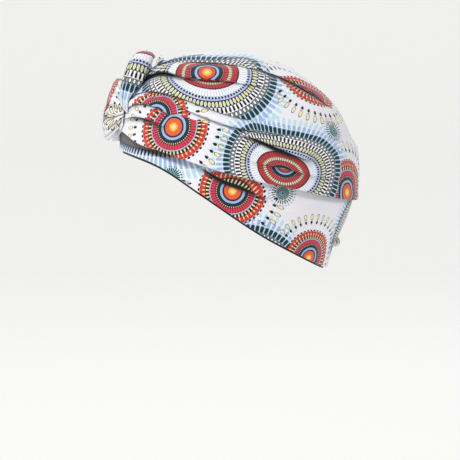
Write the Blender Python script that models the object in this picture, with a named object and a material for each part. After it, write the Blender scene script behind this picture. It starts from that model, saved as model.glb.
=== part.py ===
"""A pre-tied turban headwrap of printed jersey, with a knot over the brow.

Metres, +Z up. The wearer faces -Y and the wearer's left is +X. The origin is the inside of the crown,
where the top of a head touches. The cloth is laid over one head form, whose surface is a direction from
the middle of the head times a reach, so every piece follows the same three head sizes.
"""

import math
from collections import namedtuple

import bmesh
import bpy
import numpy as np

# Head form
HEAD_DEPTH = 0.193
HEAD_BREADTH = 0.154
CROWN_HEIGHT = 0.091
ROUNDNESS = 2.3
EGG = 0.07

# Cloth
CAP_WALL = 0.0024
BROW_WALL = 0.0018
INNER_WALL = 0.0010
LAYER_GAP = 0.0003
FACET_ROOM = 0.0004
EASE = 0.0004
INNER_DEPTH = 0.025
INNER_SHOWS = 0.0012
BROW_TUCK = 0.014
BROW_RISE = 0.022
OVER_TUCK = 0.0224
DIPS_FROM = 0.0168
DIPS_FULL = 0.028

# Pleats
PLEAT_LIFT = 0.0034
PLEAT_DIP = 0.0016
RIDGE_WIDTH = 0.013
GROOVE_WIDTH = 0.006
CREASE_WIDTH = 0.0016
PUFF = 0.0009
FAR_SIDE = 0.9
POLE_REACH = 24
LEAST_ROUND = 0.02
CREASE_APART = 0.8
FADE = 0.7

# Knot
KNOT_SPAN = 0.062
ROLL_WIDTH = 0.0235
ROLL_THICKNESS = 0.021
LOOP_HEIGHT = 0.053
LOOP_SPAN = 0.068
LOOP_THICKNESS = 0.0145
LOOP_FILL = 0.030
TAIL_SPAN = 0.040
TAIL_THICKNESS = 0.012
ROLL_FLUTES = 4
LOOP_FLUTES = 6
ROLL_FLUTE = 0.07
LOOP_FLUTE = 0.12
LOOP_FILL_SQUARE = 0.35

# Cutters
CAP_CUTTER_WALL = 0.031
BROW_CUTTER_DEPTH = 0.026

# Nape
NAPE_SPAN = 0.050
NAPE_THICKNESS = 0.0085
NAPE_HEIGHT = 0.0225
BLUNT_END = 0.02

# Mesh fineness
CAP_COLUMNS = 37
BAND_COLUMNS = 54
ROLL_RINGS = 18
ROLL_SIDES = 16
LOOP_SIDES = 24
BROW_ROWS = 7
INNER_ROWS = 3
HALVINGS = 40
PROBE = 0.0005

SCALE = np.array([HEAD_BREADTH / 2, HEAD_DEPTH / 2, CROWN_HEIGHT])
MIDDLE = np.array([0.0, 0.0, -CROWN_HEIGHT])
BAND_SEAT = INNER_WALL + LAYER_GAP + FACET_ROOM
CAP_SEAT = BAND_SEAT + BROW_WALL + LAYER_GAP + FACET_ROOM

Outline = namedtuple("Outline", "angle reach")
Edge = namedtuple("Edge", "back fall")
Pleat = namedtuple("Pleat", "name path starts ends lift rows")
Station = namedtuple("Station", "across climb off wide thick")
Cloth = namedtuple("Cloth", "red green blue rough")

# The head seen from the side. The angle goes from the brow over the crown to the nape, in degrees, and the
# reach is a share of half the depth and of the crown's height.
OUTLINE = (
    Outline(0, 0.912),
    Outline(14, 0.938),
    Outline(28, 0.990),
    Outline(42, 1.048),
    Outline(54, 1.073),
    Outline(66, 1.056),
    Outline(80, 1.018),
    Outline(92, 1.000),
    Outline(107, 0.999),
    Outline(120, 1.008),
    Outline(134, 1.022),
    Outline(149, 1.052),
    Outline(164, 1.074),
    Outline(180, 1.082),
    Outline(196, 1.102),
    Outline(211, 1.124),
    Outline(222, 1.176),
    Outline(229, 1.260),
    Outline(250, 1.500),
    Outline(270, 1.600),
    Outline(300, 1.350),
    Outline(330, 1.050),
    Outline(346, 0.940),
)

# The lower hem of the brow band, brow to nape: how far back, in half depths, and how far it has fallen
# below the crown, in crown heights.
LOWER_HEM = (
    Edge(-0.94, 0.855),
    Edge(-0.55, 1.025),
    Edge(-0.23, 1.250),
    Edge(0.30, 1.625),
    Edge(0.65, 1.828),
    Edge(0.88, 1.960),
)

# The cap's edge over the brow band, in the same terms.
LAPPED_EDGE = (
    Edge(-0.94, 0.740),
    Edge(-0.63, 0.846),
    Edge(-0.12, 1.043),
    Edge(0.38, 1.168),
    Edge(0.72, 1.257),
    Edge(1.13, 1.311),
)

# Pleats fan out of the knot. A path is the angle up round the head, in degrees, at each station between
# the knot (0) and the back of the hem (180). Starts and ends are stations too, and lift is a share.
PATH_STATIONS = (20, 40, 60, 80, 100, 120, 140, 160)
PLEATS = (
    Pleat("hem", (12, 0, -2, -3.8, -4.5, -3.6, -3.8, -3.7), 0, 0, 0.0, 3),
    Pleat("temple", (22, 10, 9, 10, 11, 13, 11, 10), 84, 138, 0.35, 2),
    Pleat("brow", (38, 30.5, 16, 15.5, 15.5, 18.5, 17, 16), 14, 60, 0.75, 3),
    Pleat("side", (47, 33, 27, 21, 20, 26, 28, 27), 14, 116, 1.0, 5),
    Pleat("crown", (68, 62, 46, 43, 43, 45, 46, 46), 20, 82, 1.0, 4),
    Pleat("back", (74, 69, 60, 60, 60, 64, 64, 60), 86, 134, 0.6, 3),
    Pleat("top", (81, 79, 77, 76, 76, 77, 77, 76), 16, 66, 0.6, 3),
    Pleat("middle", (90, 90, 90, 90, 90, 90, 90, 90), 0, 0, 0.0, 1),
)

# Half of each roll of the knot, from the middle outwards: its share of half the span, how far it climbs from
# the brow over the crown in degrees, how far its middle stands off the cap in half thicknesses, and its own
# width and thickness as shares.
KNOT_WRAP = (
    Station(0.00, 52.4, 0.84, 1.00, 1.00),
    Station(0.34, 51.2, 0.78, 1.00, 1.08),
    Station(0.62, 46.8, 0.65, 0.95, 1.15),
    Station(0.79, 40.9, 0.50, 0.84, 1.00),
    Station(0.90, 35.6, 0.47, 0.60, 0.72),
    Station(0.98, 29.9, 0.47, 0.22, 0.24),
)
KNOT_TAIL = (
    Station(0.00, 57.1, 0.53, 1.00, 1.00),
    Station(0.50, 56.0, 0.36, 0.95, 0.95),
    Station(0.85, 53.6, 0.30, 0.75, 0.72),
    Station(1.00, 51.5, 0.25, 0.35, 0.35),
)
KNOT_LOOP = (
    Station(0.00, 28.4, 1.50, 1.00, 1.00),
    Station(0.30, 28.5, 1.44, 0.97, 1.00),
    Station(0.58, 28.8, 1.22, 0.85, 0.94),
    Station(0.80, 29.3, 0.92, 0.62, 0.80),
    Station(0.94, 29.8, 0.66, 0.36, 0.56),
    Station(1.00, 30.0, 0.50, 0.16, 0.28),
)
LOOP_LEAN = 0.14
LOOP_BELLY = 0.30

# The knot pole lies on the brow at the cap's edge, and the pleats' stations are counted from it.
POLE_TILT = math.radians(15.2)
POLE = np.array([0.0, -math.cos(POLE_TILT), math.sin(POLE_TILT)])
POLE_UP = np.array([0.0, math.sin(POLE_TILT), math.cos(POLE_TILT)])
SIDE = np.array([1.0, 0.0, 0.0])

# The hem lies in a plane that falls to the nape, and the bands' columns turn about its axis.
HEM_TILT = math.radians(30)
EDGE_SEARCH = math.radians(60)
HEM_FRONT = np.array([0.0, -math.cos(HEM_TILT), math.sin(HEM_TILT)])
HEM_UP = np.array([0.0, math.sin(HEM_TILT), math.cos(HEM_TILT)])

PRINTED = Cloth(0.80, 0.82, 0.84, 0.85)
BLACK = Cloth(0.012, 0.012, 0.014, 0.80)


def curve(places, values, at):
    """A smooth curve through a table's values, level beyond its ends."""
    places = np.asarray(places, float)
    values = np.asarray(values, float)
    slope = np.gradient(values, places)
    index = np.clip(np.searchsorted(places, at) - 1, 0, len(places) - 2)
    width = places[index + 1] - places[index]
    t = np.clip((at - places[index]) / width, 0, 1)
    start = 2 * t**3 - 3 * t**2 + 1
    leave = (t**3 - 2 * t**2 + t) * width
    arrive = (t**3 - t**2) * width
    return start * values[index] + leave * slope[index] + (1 - start) * values[index + 1] + arrive * slope[index + 1]


def ramp(low, high, at):
    t = np.clip((at - low) / (high - low), 0, 1)
    return t * t * (3 - 2 * t)


def reach(direction):
    """How far the head form reaches in a direction, in shares of the head's sizes."""
    x, y, z = direction[..., 0], direction[..., 1], direction[..., 2]
    angles = np.array([row.angle for row in OUTLINE])
    shares = np.array([row.reach for row in OUTLINE])
    angles = np.concatenate([angles[-3:] - 360, angles, angles[:3] + 360])
    shares = np.concatenate([shares[-3:], shares, shares[:3]])
    outline = curve(angles, shares, np.degrees(np.arctan2(z, -y)) % 360)
    side = np.abs(x) / (1 + EGG * y)
    fore = np.hypot(y, z) / outline
    return (side**ROUNDNESS + fore**ROUNDNESS) ** (-1 / ROUNDNESS)


def on_head(direction):
    return MIDDLE + SCALE * direction * reach(direction)[..., None]


def level(points):
    """1 on the head form, less inside it and more outside."""
    share = (points - MIDDLE) / SCALE
    length = np.linalg.norm(share, axis=-1)
    return length / reach(share / length[..., None])


def outward(points):
    slopes = [level(points + axis) - level(points - axis) for axis in np.eye(3) * PROBE]
    slopes = np.stack(slopes, -1)
    return slopes / np.linalg.norm(slopes, axis=-1)[..., None]


def stand_off(direction, distance):
    """The points that stand a distance off the head form."""
    base = on_head(direction)
    return base + outward(base) * np.asarray(distance)[..., None]


def from_pole(along, rise):
    """A direction from its station between the knot and the back, and its angle up round the head."""
    along = np.radians(along)[..., None]
    rise = np.radians(rise)[..., None]
    return np.cos(along) * POLE + np.sin(along) * (np.cos(rise) * SIDE + np.sin(rise) * POLE_UP)


def pleat_strength(pleat, along):
    """A pleat is deepest near its start and dies away to its end."""
    if not pleat.lift:
        return np.zeros_like(along)
    run = np.clip((along - pleat.starts) / (pleat.ends - pleat.starts), 0, 1)
    return pleat.lift * np.sin(math.pi * run**FADE)


def round_the_head(along):
    """Metres of cloth to a radian of rise, at each station."""
    return SCALE[[0, 2]].mean() * np.maximum(np.sin(np.radians(along)), LEAST_ROUND)


def cap_section(along):
    """Each row's angle up round the head and its lift off the plain cap, at every station of along."""
    metres = round_the_head(along)
    apart = np.minimum(np.degrees(CREASE_WIDTH / 2 / metres), CREASE_APART)
    rises, lifts = [], []
    for lower, upper in zip(PLEATS, PLEATS[1:]):
        low = curve(PATH_STATIONS, lower.path, along) + apart * (lower.lift > 0)
        high = curve(PATH_STATIONS, upper.path, along) - apart * (upper.lift > 0)
        ridge = PLEAT_LIFT * pleat_strength(lower, along)
        groove = PLEAT_DIP * pleat_strength(upper, along)
        for share in np.linspace(0, 1, lower.rows):
            rise = low + (high - low) * share
            above = np.radians(rise - low) * metres / RIDGE_WIDTH
            below = np.radians(high - rise) * metres / GROOVE_WIDTH
            puff = PUFF * math.sin(math.pi * share) * np.sin(np.radians(along)) ** 2
            rises.append(rise)
            lifts.append(ridge * np.exp(-(above**2)) - groove * np.exp(-(below**2)) + puff)
    near = list(zip(rises, lifts))
    far = [(180 - rise, lift * FAR_SIDE) for rise, lift in reversed(near[:-1])]
    rows = near + far
    return np.array([row[0] for row in rows]), np.array([row[1] for row in rows])


def above_edge(along, rise):
    """How far a place on the cap lies above the cap's edge, over the head. It is small all round the knot pole."""
    metres = round_the_head(along)
    hem = curve(PATH_STATIONS, PLEATS[0].path, along)
    height = np.radians(np.minimum(rise, 180 - rise) - hem) * metres
    over_pole = np.minimum(along, 180 - along) < POLE_REACH
    return np.where(over_pole, np.minimum(height, BROW_TUCK), height)


def cap_seat(height):
    """How far the cap's inside stands off the head: over the brow band at its edge, close on the crown."""
    return EASE + (CAP_SEAT - EASE) * (1 - ramp(OVER_TUCK, OVER_TUCK + BROW_RISE, height))


def paint(name, cloth):
    material = bpy.data.materials.new(name)
    material.use_nodes = True
    shader = material.node_tree.nodes["Principled BSDF"]
    shader.inputs["Base Color"].default_value = (cloth.red, cloth.green, cloth.blue, 1.0)
    shader.inputs["Roughness"].default_value = cloth.rough
    shader.inputs["Metallic"].default_value = 0.0
    return material


def mesh_object(name, points, faces, material=None):
    mesh = bpy.data.meshes.new(name)
    mesh.from_pydata([tuple(float(v) for v in point) for point in points], [], faces)
    shape = bmesh.new()
    shape.from_mesh(mesh)
    bmesh.ops.recalc_face_normals(shape, faces=shape.faces[:])
    shape.to_mesh(mesh)
    shape.free()
    item = bpy.data.objects.new(name, mesh)
    if material:
        mesh.materials.append(material)
    bpy.context.scene.collection.objects.link(item)
    return item


def two_triangles(faces, a, b, c, d):
    for corners in ((a, b, c), (a, c, d)):
        if len(set(corners)) == 3:
            faces.append(corners)


def shell(name, outer, inner, ring, material=None):
    """A wall between two grids of points. A ring's columns close on themselves, and otherwise the rows
    run together into one point at either end."""
    rows, columns = outer.shape[:2]
    points, faces = [], []

    def place(grid):
        index = np.empty((rows, columns), int)
        for row in range(rows):
            for column in range(columns):
                if not ring and row and column in (0, columns - 1):
                    index[row, column] = index[0, column]
                    continue
                index[row, column] = len(points)
                points.append(grid[row, column])
        return index

    out, within = place(outer), place(inner)
    for column in range(columns if ring else columns - 1):
        after = (column + 1) % columns
        for row in range(rows - 1):
            two_triangles(faces, out[row, column], out[row, after], out[row + 1, after], out[row + 1, column])
            two_triangles(
                faces, within[row, column], within[row + 1, column], within[row + 1, after], within[row, after]
            )
        for row in (0, rows - 1):
            two_triangles(faces, out[row, column], within[row, column], within[row, after], out[row, after])
    return mesh_object(name, points, faces, material)


def cap_grids(grow=0.0, wall=CAP_WALL):
    """The cap's outer and inner grids. Grown, it is also that much longer at its edge."""
    along = np.linspace(0, 180, CAP_COLUMNS)
    rise, lift = cap_section(along)
    longer = np.degrees(2 * grow / round_the_head(along))
    rise[0] -= longer
    rise[-1] += longer
    along = np.broadcast_to(along, rise.shape)
    base = on_head(from_pole(along, rise))
    normal = outward(base)
    height = above_edge(along, rise)
    lift = np.where(lift < 0, lift * ramp(DIPS_FROM, DIPS_FULL, height), lift)
    inside = cap_seat(height) + lift * np.sin(np.radians(along)) ** 0.5
    outer = base + normal * (inside + CAP_WALL + grow)[..., None]
    inner = base + normal * (inside + CAP_WALL - wall)[..., None]
    return outer, inner


def turn_to(around, tilt):
    """A direction from its turn about the hem's axis and its tilt up from the hem's plane."""
    level_part = np.cos(around) * HEM_FRONT[:, None] + np.sin(around) * SIDE[:, None]
    return (np.cos(tilt) * level_part + np.sin(tilt) * HEM_UP[:, None]).T


def edge_tilt(around, table, raised, off):
    """The tilt at which the cloth, standing off the head, meets an edge seen from the side."""
    back = [row.back * HEAD_DEPTH / 2 for row in table]
    height = [-row.fall * CROWN_HEIGHT for row in table]
    low = np.full_like(around, -EDGE_SEARCH)
    high = np.full_like(around, EDGE_SEARCH)
    for _ in range(HALVINGS):
        middle = (low + high) / 2
        point = stand_off(turn_to(around, middle), np.full_like(around, off))
        above = point[:, 2] > curve(back, height, point[:, 1]) + raised
        high = np.where(above, middle, high)
        low = np.where(above, low, middle)
    return (low + high) / 2


def band_grids(lower, upper, rows, inside, wall, grow=0.0):
    """The grids of a closed band between two edges, each a table and how far above it the band ends."""
    around = np.arange(BAND_COLUMNS) * 2 * math.pi / BAND_COLUMNS
    off = inside + wall
    bottom = edge_tilt(around, lower[0], lower[1], off)
    top = edge_tilt(around, upper[0], upper[1], off)
    outer, inner = [], []
    for share in np.linspace(0, 1, rows):
        way = turn_to(around, bottom + (top - bottom) * share)
        outer.append(stand_off(way, np.full_like(around, off + grow)))
        inner.append(stand_off(way, np.full_like(around, inside)))
    return np.array(outer), np.array(inner)


def brow_grids(grow=0.0, inside=BAND_SEAT):
    return band_grids((LOWER_HEM, 0.0), (LAPPED_EDGE, BROW_TUCK), BROW_ROWS, inside, BAND_SEAT + BROW_WALL - inside, grow)


def roll_line(table, span, thick):
    """A roll's middle line from one end over the knot to the other, and its direction, width and thickness."""
    count = len(table) - 1
    order = np.arange(-count, count + 1, dtype=float)
    at = np.linspace(-count, count, ROLL_RINGS)
    whole = list(reversed(table)) + list(table[1:])
    across = [row.across if place > 0 else -row.across for place, row in zip(order, whole)]
    climb = np.radians(curve(order, [row.climb for row in whole], at))
    off = curve(order, [row.off for row in whole], at) * thick / 2
    sideways = curve(order, across, at) * span / HEAD_BREADTH
    way = np.stack([sideways, -np.cos(climb), np.sin(climb)], axis=-1)
    way /= np.linalg.norm(way, axis=1)[:, None]
    centre = stand_off(way, EASE + CAP_WALL + off)
    ahead = np.gradient(centre, axis=0)
    ahead /= np.linalg.norm(ahead, axis=1)[:, None]
    return centre, ahead, curve(order, [row.wide for row in whole], at), curve(order, [row.thick for row in whole], at)


def fluted(angle, flutes, depth):
    """Lengthwise gathers: the radius swells and sinks round a roll."""
    return 1 - depth * (1 - np.cos(flutes * angle))


def arch(name, table, span, wide, thick, grow=0.0, material=None):
    """A roll whose width lies front to back and whose thickness stands off the knot."""
    centre, ahead, half_wide, half_thick = roll_line(table, span, thick)
    half_wide = (half_wide * wide / 2 + grow)[:, None]
    half_thick = (half_thick * thick / 2 + grow)[:, None]
    across = np.array([0.0, 1.0, 0.0]) - ahead * ahead[:, 1:2]
    across /= np.linalg.norm(across, axis=1)[:, None]
    out = np.cross(across, ahead)
    angle = np.arange(ROLL_SIDES) * 2 * math.pi / ROLL_SIDES
    flute = fluted(angle, ROLL_FLUTES, ROLL_FLUTE)
    rings = (
        centre[:, None]
        + across[:, None] * (half_wide * np.cos(angle) * flute)[..., None]
        + out[:, None] * (half_thick * np.sin(angle) * flute)[..., None]
    )
    return capped(name, rings, material)


def loop(name, material=None):
    """The broad loop across the front: a leaning pillow with a full belly, gathered to both ends. Its
    back fills the knot as far as the cap and the roll, which are cut out of it."""
    centre, _, half_high, half_thick = roll_line(KNOT_LOOP, LOOP_SPAN, LOOP_THICKNESS)
    angle = np.arange(LOOP_SIDES) * 2 * math.pi / LOOP_SIDES
    front = np.cos(angle) > 0
    square = np.sign(np.sin(angle)) * np.abs(np.sin(angle)) ** LOOP_FILL_SQUARE
    high = half_high[:, None] * LOOP_HEIGHT / 2 * np.where(front, np.sin(angle), square)
    belly = (1 - LOOP_BELLY * np.sin(angle)) * fluted(angle, LOOP_FLUTES, LOOP_FLUTE)
    deep = np.where(front, LOOP_THICKNESS / 2, LOOP_FILL)
    back = -half_thick[:, None] * deep * np.cos(angle) * belly + LOOP_LEAN * high
    rings = np.stack([np.broadcast_to(centre[:, :1], high.shape), centre[:, 1:2] + back, centre[:, 2:] + high], -1)
    return capped(name, rings, material)


def capped(name, rings, material=None):
    """A closed solid from rings of points, with a fan of faces over each end."""
    count, sides = rings.shape[:2]
    points = list(rings.reshape(-1, 3)) + [rings[0].mean(axis=0), rings[-1].mean(axis=0)]
    faces = []
    for side in range(sides):
        after = (side + 1) % sides
        for ring in range(count - 1):
            here, there = ring * sides, (ring + 1) * sides
            two_triangles(faces, here + side, here + after, there + after, there + side)
        last = (count - 1) * sides
        faces.append((count * sides, side, after))
        faces.append((count * sides + 1, last + after, last + side))
    return mesh_object(name, points, faces, material)


def nape_roll(name, material=None):
    """The gathered puff across the back, lying on the brow band above its hem."""
    around = np.linspace(-1, 1, ROLL_RINGS)
    turn = math.pi + around * NAPE_SPAN / HEAD_BREADTH
    size = NAPE_THICKNESS / 2 * np.sqrt(1 + BLUNT_END - around**2)
    tilt = edge_tilt(turn, LOWER_HEM, NAPE_HEIGHT, BAND_SEAT + BROW_WALL)
    base = on_head(turn_to(turn, tilt))
    normal = outward(base)
    centre = base + normal * (BAND_SEAT + BROW_WALL)
    ahead = np.gradient(centre, axis=0)
    ahead /= np.linalg.norm(ahead, axis=1)[:, None]
    up = np.cross(normal, ahead)
    angle = np.arange(ROLL_SIDES) * 2 * math.pi / ROLL_SIDES
    rings = (
        centre[:, None]
        + up[:, None] * (size[:, None] * np.cos(angle))[..., None]
        + normal[:, None] * (size[:, None] * np.sin(angle))[..., None]
    )
    return capped(name, rings, material)


def cut(item, cutter):
    step = item.modifiers.new("clear of " + cutter.name, "BOOLEAN")
    step.operation = "DIFFERENCE"
    step.solver = "EXACT"
    step.object = cutter


def as_cutter(item):
    item.hide_render = True
    item.display_type = "WIRE"
    return item


def build():
    for item in list(bpy.data.objects):
        bpy.data.objects.remove(item)
    printed = paint("printed_jersey", PRINTED)
    black = paint("black_jersey", BLACK)

    shell("crown_wrap", *cap_grids(), ring=False, material=printed)
    shell("brow_band", *brow_grids(), ring=True, material=printed)
    hem = (LOWER_HEM, -INNER_SHOWS)
    top = (LOWER_HEM, INNER_DEPTH - INNER_SHOWS)
    shell("inner_band", *band_grids(hem, top, INNER_ROWS, 0.0, INNER_WALL), ring=True, material=black)

    under_cap = as_cutter(shell("under_cap", *cap_grids(LAYER_GAP, CAP_CUTTER_WALL), ring=False))
    under_brow = as_cutter(shell("under_brow", *brow_grids(LAYER_GAP, -BROW_CUTTER_DEPTH), ring=True))
    under_wrap = as_cutter(arch("under_wrap", KNOT_WRAP, KNOT_SPAN, ROLL_WIDTH, ROLL_THICKNESS, LAYER_GAP))

    wrap = arch("knot_wrap", KNOT_WRAP, KNOT_SPAN, ROLL_WIDTH, ROLL_THICKNESS, 0.0, printed)
    tail = arch("knot_tail", KNOT_TAIL, TAIL_SPAN, TAIL_THICKNESS, TAIL_THICKNESS, 0.0, printed)
    front = loop("knot_front_loop", printed)
    gather = nape_roll("nape_gather", printed)
    for item in (wrap, tail, front):
        cut(item, under_cap)
    for item in (wrap, front, gather):
        cut(item, under_brow)
    for item in (tail, front):
        cut(item, under_wrap)


build()
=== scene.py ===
"""The printed jersey turban: pleated cap, lapped bands and pinched knot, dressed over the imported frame.

Metres, +Z up, the wearer's left is +X. Every piece is laid over the head form that the CAD nodes follow,
and the print's medallions lie on the cloth, so they break at each pleat.
"""

import math
from collections import namedtuple

import bmesh
import bpy
import numpy as np
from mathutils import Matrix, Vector, noise
from mathutils.bvhtree import BVHTree


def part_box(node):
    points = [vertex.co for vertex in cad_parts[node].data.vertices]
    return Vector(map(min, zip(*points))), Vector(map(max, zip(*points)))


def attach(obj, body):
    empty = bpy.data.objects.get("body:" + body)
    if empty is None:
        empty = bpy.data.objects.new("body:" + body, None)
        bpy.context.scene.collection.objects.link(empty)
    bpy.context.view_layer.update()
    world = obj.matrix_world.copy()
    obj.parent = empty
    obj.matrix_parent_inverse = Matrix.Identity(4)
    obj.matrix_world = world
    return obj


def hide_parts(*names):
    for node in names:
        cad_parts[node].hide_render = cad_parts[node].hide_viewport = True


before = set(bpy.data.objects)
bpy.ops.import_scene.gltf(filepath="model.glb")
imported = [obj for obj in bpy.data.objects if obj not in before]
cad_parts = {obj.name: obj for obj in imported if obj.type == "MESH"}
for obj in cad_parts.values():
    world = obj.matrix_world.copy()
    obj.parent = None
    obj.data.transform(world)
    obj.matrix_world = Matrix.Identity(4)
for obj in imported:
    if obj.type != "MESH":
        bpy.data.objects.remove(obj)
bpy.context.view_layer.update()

# Cloth
CAP_WALL = 0.0024
BROW_WALL = 0.0018
INNER_WALL = 0.0010
LAYER_GAP = 0.0003
FACET_ROOM = 0.0004
EASE = 0.0004
INNER_DEPTH = 0.025
INNER_SHOWS = 0.0020
BROW_TUCK = 0.014
BROW_RISE = 0.022

# Head form, from the frame's own boxes
inner_low, inner_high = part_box("inner_band")
wrap_low, wrap_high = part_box("crown_wrap")
HEAD_BREADTH = inner_high.x - inner_low.x - 2 * INNER_WALL
HEAD_DEPTH = 0.940 * (wrap_high.y - wrap_low.y)
CROWN_HEIGHT = 0.5022 * (wrap_high.z - inner_low.z)
ROUNDNESS = 2.3
EGG = 0.07
SCALE = np.array([HEAD_BREADTH / 2, HEAD_DEPTH / 2, CROWN_HEIGHT])
MIDDLE = np.array([0.0, 0.0, -CROWN_HEIGHT])
BAND_SEAT = INNER_WALL + LAYER_GAP + FACET_ROOM
CAP_SEAT = BAND_SEAT + BROW_WALL + LAYER_GAP + FACET_ROOM

# Pleats
PLEAT_LIFT = 0.0036
RIDGE_WIDTH = 0.012
GROOVE_WIDTH = 0.006
FOLD_REACH = 0.0026
CLOTH_OVER_HEAD = 1.06
CRUMPLE = 0.0009
FINE_CRUMPLE = 0.0003
PUFF = 0.0009
FAR_SIDE = 0.9
POLE_REACH = 24
PATH_STATIONS = (20, 40, 60, 80, 100, 120, 140, 160)

CAP_COLUMNS = 210
BAND_COLUMNS = 320
BROW_ROWS = 110
INNER_ROWS = 16
INSIDE_ROWS = 60
BROW_WAVES = 0.0006
RIM_STEP = 0.0006
RIM_ROWS = 6
LIP_LIFT = 0.0014
LIP_WIDTH = 0.006
# Painted shade: the shadow painted on the band under the cap's lip, and the shade painted into the grooves
# and the rolls' creases.
LIP_SHADE = 0.0016
LIP_DARK = 0.0032
GROOVE_SHADE = 0.9
CREASE_SHADE = 5.0
SHADE_REACH = 0.4
RIM_DEPTH = 0.45

# Knit
PRINTED_PITCH = 0.0009
BLACK_PITCH = 0.0011
STITCH_DEPTH = 0.00016
CLOUDS_PER_METRE = 26.0
FUZZ_PER_METRE = 900.0
INK_BLEED = 0.35
REVERSE_SHARE = 0.82

Outline = namedtuple("Outline", "angle reach")
Edge = namedtuple("Edge", "back fall")
Pleat = namedtuple("Pleat", "name path rows spans")
Span = namedtuple("Span", "start peak end lift hidden dark")
Fold = namedtuple("Fold", "up out hidden dark")
Station = namedtuple("Station", "across climb off wide thick")
Print = namedtuple("Print", "kind along rise turn wide high cloth strip floor roof", defaults=(None,) * 3)
Ring = namedtuple("Ring", "outer ground fill line count wide long taper core square")


def rows(kind, *values):
    """A table of one kind of row."""
    return tuple(kind(*value) for value in values)


OUTLINE = rows(
    Outline,
    (0, 0.912), (14, 0.938), (28, 0.990), (42, 1.048), (54, 1.073), (66, 1.056),
    (80, 1.018), (92, 1.000), (107, 0.999), (120, 1.008), (134, 1.022), (149, 1.052),
    (164, 1.074), (180, 1.082), (196, 1.102), (211, 1.124), (222, 1.176), (229, 1.260),
    (250, 1.500), (270, 1.600), (300, 1.350), (330, 1.050), (346, 0.940),
)
LOWER_HEM = rows(
    Edge,
    (-0.94, 0.855), (-0.55, 1.025), (-0.23, 1.250), (0.30, 1.625), (0.65, 1.828), (0.88, 1.960),
)
LAPPED_EDGE = rows(
    Edge,
    (-0.94, 0.740), (-0.63, 0.846), (-0.12, 1.043), (0.38, 1.168), (0.72, 1.257), (1.13, 1.311),
)

# Pleats fan out of the knot. A path is the angle up round the head at each station from the knot (0) to the
# back of the hem (180). Each span says where along it the pleat stands up, with lift and dark as shares and
# hidden as the cloth folded away under it, in metres. Dark is the shade painted in the pleat's groove.
PLEATS = (
    Pleat("hem", (12, 0.8, -1.4, -3.2, -3.9, -3.0, -3.2, -3.1), 16, ()),
    Pleat(
        "eye",
        (27, 21.0, 12.5, 6.6, 5.8, 6.9, 8.2, 8.0),
        8,
        (Span(22, 46, 58, 0.45, 0.0060, 1.4), Span(96, 115, 137, 0.25, 0.0110, 0.5)),
    ),
    Pleat(
        "temple",
        (37, 30.5, 20, 17, 16, 14.6, 15.5, 16),
        10,
        (Span(14, 40, 61, 0.70, 0.0040, 0.6), Span(90, 106, 128, 0.50, 0.0055, 2.0)),
    ),
    Pleat("side", (45, 37.0, 26, 19.6, 19.6, 25, 27, 27), 8, (Span(56, 80, 116, 0.90, 0.0060, 0.3),)),
    Pleat("ridge", (54, 41.0, 31, 25.6, 25.4, 30, 32, 32), 20, (Span(16, 52, 100, 0.50, 0.0040, 0.5),)),
    Pleat(
        "crown",
        (68, 60.5, 45.2, 44, 45, 46, 47, 47),
        20,
        (Span(20, 52, 100, 1.0, 0.0120, 0.3), Span(16, 34, 60, 0, 0, 2.2)),
    ),
    Pleat(
        "back",
        (74, 69, 60.5, 57.5, 57, 57.5, 63, 60),
        16,
        (Span(42, 68, 90, 0.35, 0.0340, 0.3), Span(84, 107, 134, 0.6, 0.0400, 0.8)),
    ),
    Pleat("top", (81, 79, 77, 76, 76, 77, 77, 76), 12, (Span(16, 36, 66, 0.6, 0.0040, 0.3),)),
    Pleat("middle", (90, 90, 90, 90, 90, 90, 90, 90), 1, ()),
)

# Creases in the brow band, with each path's angles at the stations of BROW_STATIONS.
BROW_STATIONS = (60, 70, 80, 90, 100, 110, 120)
BROW_FOLDS = (
    Pleat("under", (3, 0, -3.8, -6.6, -7.7, -10.5, -13), 0, (Span(73, 92, 113, 0.45, 0.0125, 2.0),)),
)

# Up the cloth through one pleat: from the groove, under the lip and over it on to the ridge. Up is in metres
# from the crease, out is a share of the pleat's lift, and hidden and dark are shares of the pleat's own.
# Dark is the shade painted on the cloth there.
FOLDS = rows(
    Fold,
    (-0.0026, -0.36, 0.00, 0.80), (-0.0010, -0.38, 0.03, 0.90), (0.0003, -0.26, 0.12, 1.00),
    (-0.0006, -0.04, 0.45, 1.00), (-0.0016, 0.16, 0.75, 1.00), (-0.0021, 0.42, 0.90, 0.80),
    (-0.0019, 0.66, 0.96, 0.35), (-0.0012, 0.86, 0.98, 0.10), (-0.0002, 0.98, 1.00, 0.00),
    (0.0012, 1.02, 1.00, 0.00), (0.0026, 1.00, 1.00, 0.00),
)

POLE_TILT = math.radians(15.2)
POLE = np.array([0.0, -math.cos(POLE_TILT), math.sin(POLE_TILT)])
POLE_UP = np.array([0.0, math.sin(POLE_TILT), math.cos(POLE_TILT)])
SIDE = np.array([1.0, 0.0, 0.0])
HEM_TILT = math.radians(30)
HEM_FRONT = np.array([0.0, -math.cos(HEM_TILT), math.sin(HEM_TILT)])
HEM_UP = np.array([0.0, math.sin(HEM_TILT), math.cos(HEM_TILT)])


def curve(places, values, at):
    """A smooth curve through a table's values, level beyond its ends."""
    places = np.asarray(places, float)
    values = np.asarray(values, float)
    slope = np.gradient(values, places)
    index = np.clip(np.searchsorted(places, at) - 1, 0, len(places) - 2)
    width = places[index + 1] - places[index]
    t = np.clip((at - places[index]) / width, 0, 1)
    start = 2 * t**3 - 3 * t**2 + 1
    leave = (t**3 - 2 * t**2 + t) * width
    arrive = (t**3 - t**2) * width
    ends = start * values[index] + (1 - start) * values[index + 1]
    return ends + leave * slope[index] + arrive * slope[index + 1]


def ramp(low, high, at):
    t = np.clip((at - low) / (high - low), 0, 1)
    return t * t * (3 - 2 * t)


def unit(vectors):
    return vectors / np.maximum(np.linalg.norm(vectors, axis=-1), 1e-12)[..., None]


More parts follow.
